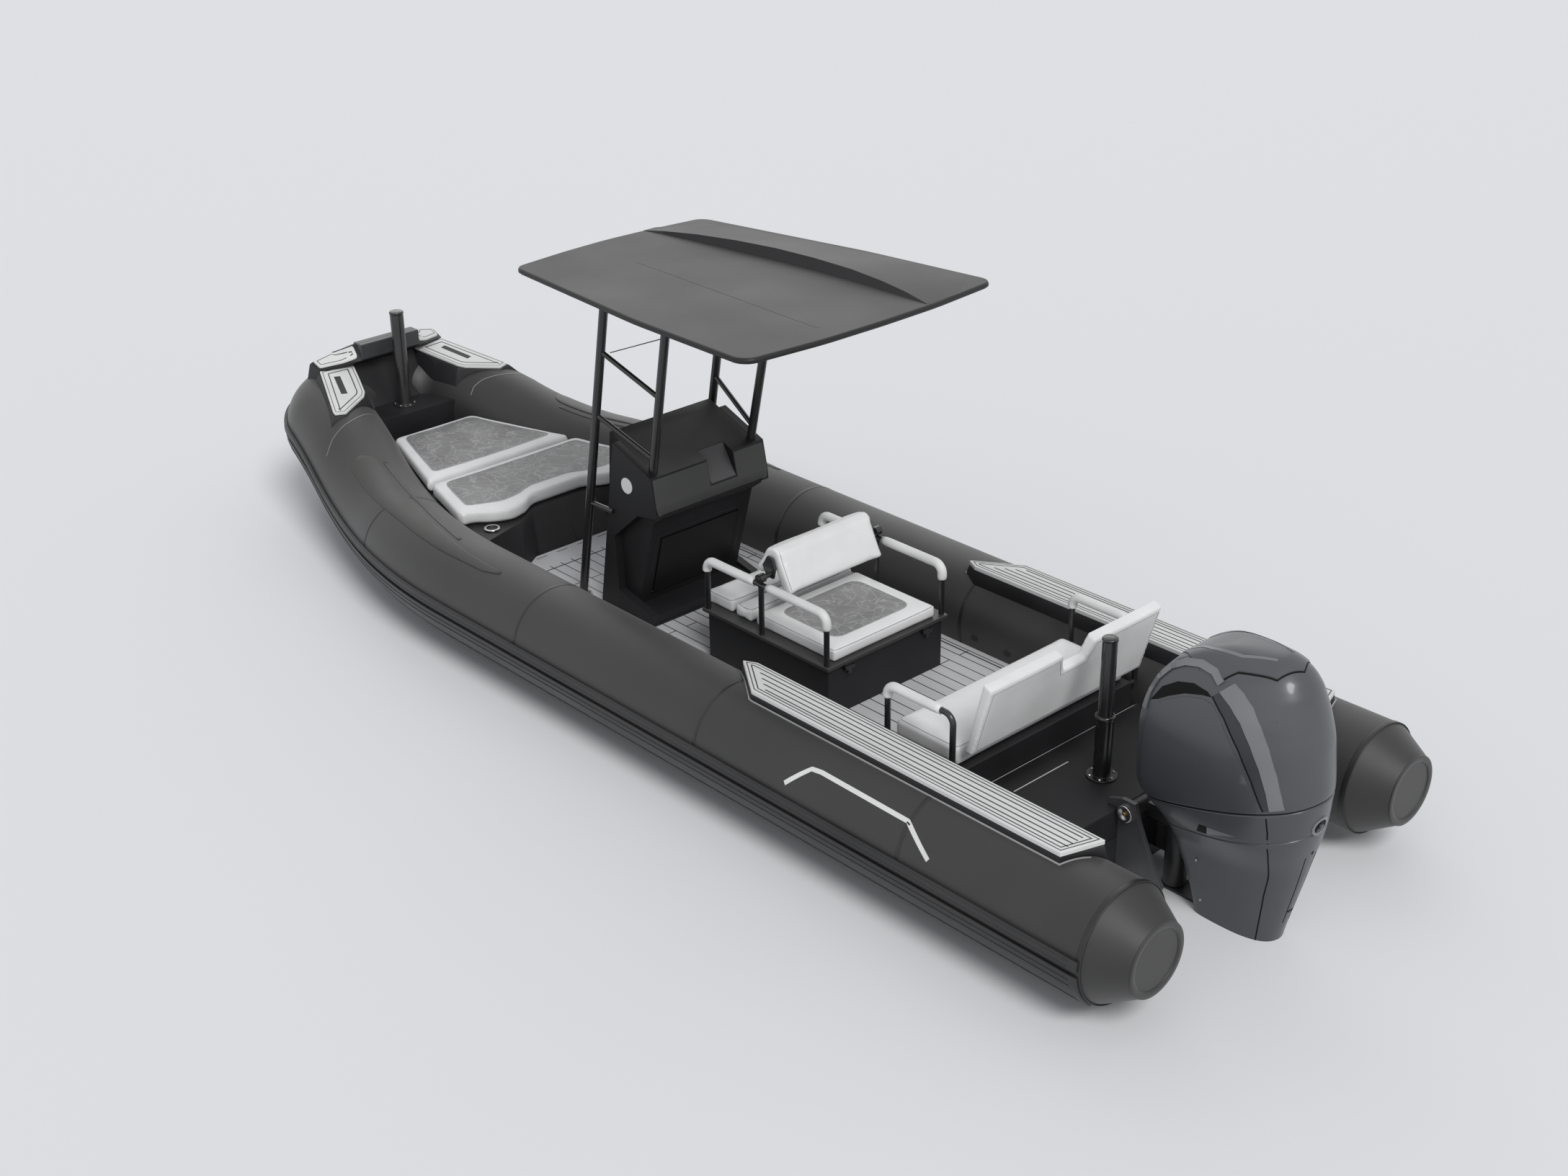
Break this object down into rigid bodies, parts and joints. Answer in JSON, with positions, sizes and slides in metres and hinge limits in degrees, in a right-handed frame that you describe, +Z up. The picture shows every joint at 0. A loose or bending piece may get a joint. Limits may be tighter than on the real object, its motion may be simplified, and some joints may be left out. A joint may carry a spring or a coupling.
{
  "type": "inflatable rib boat",
  "caption": "Rigid inflatable boat with a V hull, wrap-round buoyancy tubes, hardtop over a console, helm seat, aft bench and an outboard engine that tilts and steers.",
  "frame": {"origin": "on the centreline at the waterline, about amidships", "axes": "+X forward to the bow, +Y to port, +Z up"},
  "size_m": [8.1877, 2.632, 3.3127],
  "materials": {
    "tube_fabric": "matte coated fabric",
    "strake_rubber": "satin moulded rubber",
    "hull_laminate": "gel coat, gloss black",
    "moulding_black": "textured gel coat, black",
    "deck_foam": "brushed closed-cell foam, light grey with black lines",
    "pad_foam": "brushed closed-cell foam, white with black lines",
    "gloss_black": "gloss black",
    "roof_black": "satin black paint",
    "frame_black": "gloss black powder coat",
    "cushion_vinyl": "white marine vinyl with grey marbled insert",
    "arm_vinyl": "white marine vinyl",
    "disc_white": "gloss white",
    "stainless": "polished stainless steel",
    "engine_cowl_paint": "charcoal metallic paint",
    "engine_black": "satin black paint on cast aluminium",
    "engine_iron": "plain block"
  },
  "bodies": {
    "boat": {"buoyancy_tubes": "tube_fabric", "tube_end_cones": "tube_fabric", "rub_strakes": "strake_rubber", "rigid_hull": "hull_laminate", "bow_locker": "moulding_black", "cockpit_floor": "deck_foam", "aft_deck": "moulding_black", "bow_moulding": "moulding_black", "bow_platform": "moulding_black", "nose_box": "gloss_black", "bow_plates": "pad_foam", "bow_post": "frame_black", "tow_post": "frame_black", "bow_cushion_fore": "cushion_vinyl", "bow_cushion_aft": "cushion_vinyl", "cup_holders": "stainless", "side_deck_plinths": "moulding_black", "side_deck_pads": "pad_foam", "console": "moulding_black", "dash_recess_panel": "moulding_black", "console_discs": "disc_white", "hardtop_roof": "roof_black", "hardtop_frame": "frame_black", "helm_base": "moulding_black", "bench_base": "moulding_black", "bench_cushion": "cushion_vinyl", "bench_backrest": "cushion_vinyl", "bench_arm_frames": "frame_black", "bench_arm_pads": "arm_vinyl", "clamp_bracket": "engine_black"},
    "engine_tilt": {"swivel_bracket": "engine_black"},
    "engine_steer": {"engine_leg": "engine_black", "engine_apron": "engine_cowl_paint", "engine_cowl": "engine_cowl_paint", "powerhead_block": "engine_iron", "lower_unit": "engine_black"},
    "propeller": {"propeller": "stainless"},
    "helm_lid": {"helm_lid": "gloss_black", "helm_cushions": "cushion_vinyl", "helm_arm_frames": "frame_black", "helm_arm_pads": "arm_vinyl"},
    "helm_backrest": {"helm_backrest": "arm_vinyl", "backrest_links": "frame_black"},
    "console_door": {"console_door": "gloss_black"}
  },
  "joints": [
    {"name": "engine_tilt_hinge", "type": "hinge", "parent": "boat", "child": "engine_tilt", "pos_m": [-3.12, 0, 0.41], "axis": [0, 1, 0], "range_deg": [-3, 26]},
    {"name": "engine_steering", "type": "hinge", "parent": "engine_tilt", "child": "engine_steer", "pos_m": [-3.3, 0, 0.41], "axis": [0, 0, 1], "range_deg": [-30, 30]},
    {"name": "propeller_spin", "type": "hinge", "parent": "engine_steer", "child": "propeller", "pos_m": [-4.03, 0, -0.655], "axis": [1, 0, 0], "continuous": true},
    {"name": "helm_lid_hinge", "type": "hinge", "parent": "boat", "child": "helm_lid", "pos_m": [-0.315, 0, 0.584], "axis": [0, 1, 0], "range_deg": [0, 50]},
    {"name": "helm_backrest_swing", "type": "hinge", "parent": "helm_lid", "child": "helm_backrest", "pos_m": [-0.79, 0, 0.945], "axis": [0, 1, 0], "range_deg": [-35, 35]},
    {"name": "console_door_hinge", "type": "hinge", "parent": "boat", "child": "console_door", "pos_m": [0.33806, 0, 0.415], "axis": [0, -1, 0], "range_deg": [0, 74]}
  ]
}
